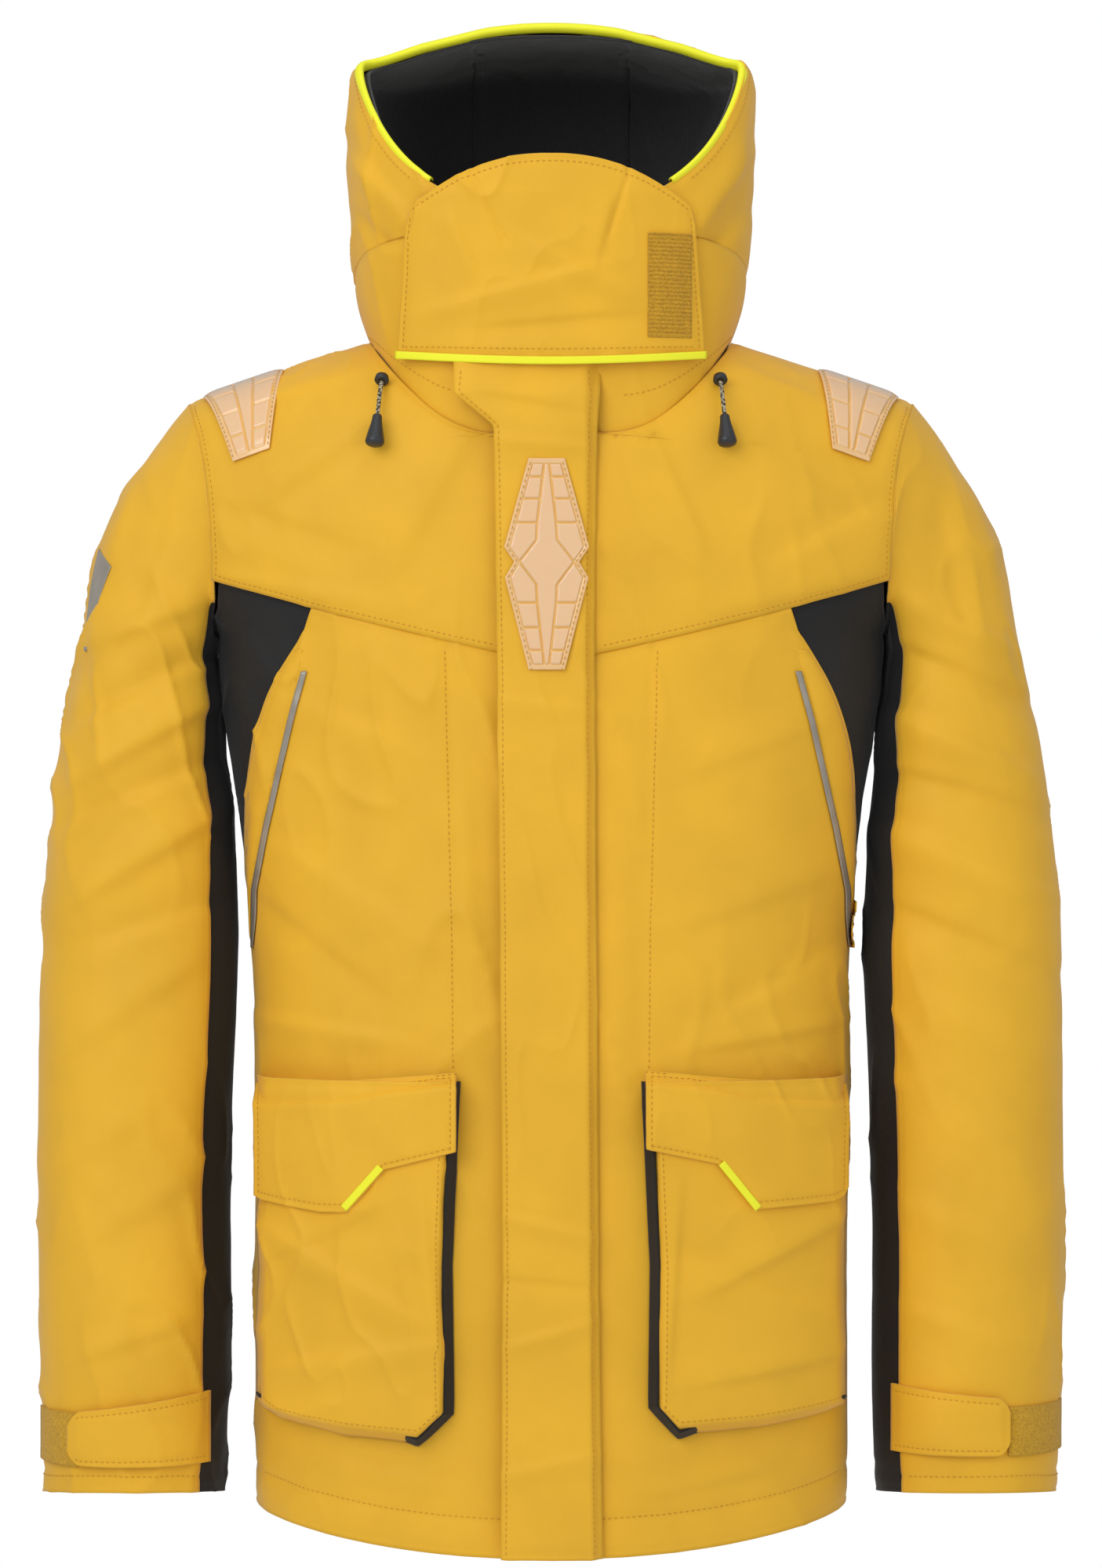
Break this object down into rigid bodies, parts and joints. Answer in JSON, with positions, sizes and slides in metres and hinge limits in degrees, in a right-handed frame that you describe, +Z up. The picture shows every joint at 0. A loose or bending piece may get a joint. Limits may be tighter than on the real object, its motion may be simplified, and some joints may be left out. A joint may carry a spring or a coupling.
{
  "type": "foul weather jacket",
  "caption": "Hooded offshore foul weather jacket with storm flap over the zip, face guard, bellows cargo pockets and strap cuffs.",
  "frame": {"origin": "top of the hanger loop inside the back of the collar, where the jacket hangs", "axes": "+Z up from hem to hood, -Y the way the wearer faces, +X the wearer's left"},
  "size_m": [0.7406, 0.292, 1.085],
  "materials": {
    "shell_yellow": "matte woven waterproof shell fabric",
    "shell_black": "matte woven black shell fabric",
    "fleece_black": "brushed fleece",
    "inner_cuff": "coated lining in shadow orange",
    "neon_trim": "fluorescent yellow binding",
    "reflective_tape": "retroreflective tape",
    "soft_pvc": "glossy translucent soft PVC",
    "hook_tape": "hook and loop tape",
    "moulded_plastic": "fine moulded grain",
    "cord_braid": "braided cord with pale flecks",
    "zip_coil": "woven tape with moulded teeth"
  },
  "bodies": {
    "trunk": {"back_panel": "shell_yellow", "body_lining": "shell_black", "collar_shell": "shell_yellow", "collar_lining": "fleece_black", "hanger_loop": "shell_black", "inner_storm_guard": "shell_yellow", "front_panel_left": "shell_yellow", "front_panel_right": "shell_yellow", "side_panel_left": "shell_black", "side_panel_right": "shell_black", "yoke_left": "shell_yellow", "yoke_right": "shell_yellow", "zip_tape_left": "zip_coil", "zip_tape_right": "zip_coil", "shoulder_pad_left": "soft_pvc", "shoulder_pad_right": "soft_pvc", "pocket_bag_left": "shell_yellow", "pocket_bag_right": "shell_yellow", "pocket_floor_left": "shell_yellow", "pocket_floor_right": "shell_yellow", "pocket_loop_patch_left": "hook_tape", "pocket_loop_patch_right": "hook_tape", "hand_pocket_welt_left": "shell_black", "hand_pocket_welt_right": "shell_black", "reflective_stripe_left": "reflective_tape", "reflective_stripe_right": "reflective_tape", "cord_exit_left": "moulded_plastic", "cord_exit_right": "moulded_plastic"},
    "zip_pull": {"zip_slider": "moulded_plastic", "zip_puller": "moulded_plastic"},
    "front_flap": {"storm_flap": "shell_yellow", "storm_flap_hook_tape": "hook_tape", "centre_pad": "soft_pvc"},
    "hood": {"hood_centre": "shell_yellow", "hood_lining": "fleece_black", "hood_binding": "neon_trim", "hood_side_left": "shell_yellow", "hood_side_right": "shell_yellow"},
    "guard": {"face_guard": "shell_yellow", "face_guard_trim": "neon_trim", "face_guard_patch": "hook_tape"},
    "sleeve_left": {"sleeve_upper_left": "shell_yellow", "sleeve_under_left": "shell_black", "cuff_seal_left": "inner_cuff", "cuff_loop_patch_left": "hook_tape"},
    "strap_left": {"cuff_strap_left": "shell_yellow"},
    "pocket_left": {"pocket_flap_left": "shell_yellow", "pocket_flap_trim_left": "neon_trim"},
    "cord_left": {"drawcord_left": "cord_braid", "cord_end_left": "moulded_plastic"},
    "sleeve_right": {"sleeve_upper_right": "shell_yellow", "sleeve_under_right": "shell_black", "cuff_seal_right": "inner_cuff", "cuff_loop_patch_right": "hook_tape", "sleeve_reflector": "reflective_tape"},
    "strap_right": {"cuff_strap_right": "shell_yellow"},
    "pocket_right": {"pocket_flap_right": "shell_yellow", "pocket_flap_trim_right": "neon_trim"},
    "cord_right": {"drawcord_right": "cord_braid", "cord_end_right": "moulded_plastic"}
  },
  "joints": [
    {"name": "zip_slide", "type": "slide", "parent": "trunk", "child": "zip_pull", "axis": [0, 0, 1], "range_m": [-0.7, 0]},
    {"name": "storm_flap_open", "type": "hinge", "parent": "trunk", "child": "front_flap", "pos_m": [0.036, -0.242, -0.47], "axis": [0, 0, 1], "range_deg": [0, 100]},
    {"name": "hood_tilt", "type": "hinge", "parent": "trunk", "child": "hood", "pos_m": [0, 0.014, 0], "axis": [-1, 0, 0], "range_deg": [0, 35]},
    {"name": "face_guard_open", "type": "hinge", "parent": "trunk", "child": "guard", "pos_m": [-0.106, -0.217, 0.01], "axis": [0, 0, -1], "range_deg": [0, 100]},
    {"name": "sleeve_raise_left", "type": "hinge", "parent": "trunk", "child": "sleeve_left", "pos_m": [0.265, -0.098, -0.053], "axis": [0, -1, 0], "range_deg": [0, 35]},
    {"name": "cuff_strap_open_left", "type": "hinge", "parent": "sleeve_left", "child": "strap_left", "pos_m": [0.244, -0.1445, -0.786], "axis": [0, 0, -1], "range_deg": [0, 75]},
    {"name": "pocket_flap_lift_left", "type": "hinge", "parent": "trunk", "child": "pocket_left", "pos_m": [0.137, -0.255, -0.53], "axis": [-1, 0, 0], "range_deg": [0, 90]},
    {"name": "drawcord_swing_left", "type": "hinge", "parent": "trunk", "child": "cord_left", "pos_m": [0.119, -0.214, -0.046], "axis": [0, 1, 0], "range_deg": [-20, 20]},
    {"name": "sleeve_raise_right", "type": "hinge", "parent": "trunk", "child": "sleeve_right", "pos_m": [-0.265, -0.098, -0.053], "axis": [0, 1, 0], "range_deg": [0, 35]},
    {"name": "cuff_strap_open_right", "type": "hinge", "parent": "sleeve_right", "child": "strap_right", "pos_m": [-0.244, -0.1445, -0.786], "axis": [0, 0, 1], "range_deg": [0, 75]},
    {"name": "pocket_flap_lift_right", "type": "hinge", "parent": "trunk", "child": "pocket_right", "pos_m": [-0.137, -0.255, -0.53], "axis": [-1, 0, 0], "range_deg": [0, 90]},
    {"name": "drawcord_swing_right", "type": "hinge", "parent": "trunk", "child": "cord_right", "pos_m": [-0.119, -0.214, -0.046], "axis": [0, 1, 0], "range_deg": [-20, 20]}
  ]
}
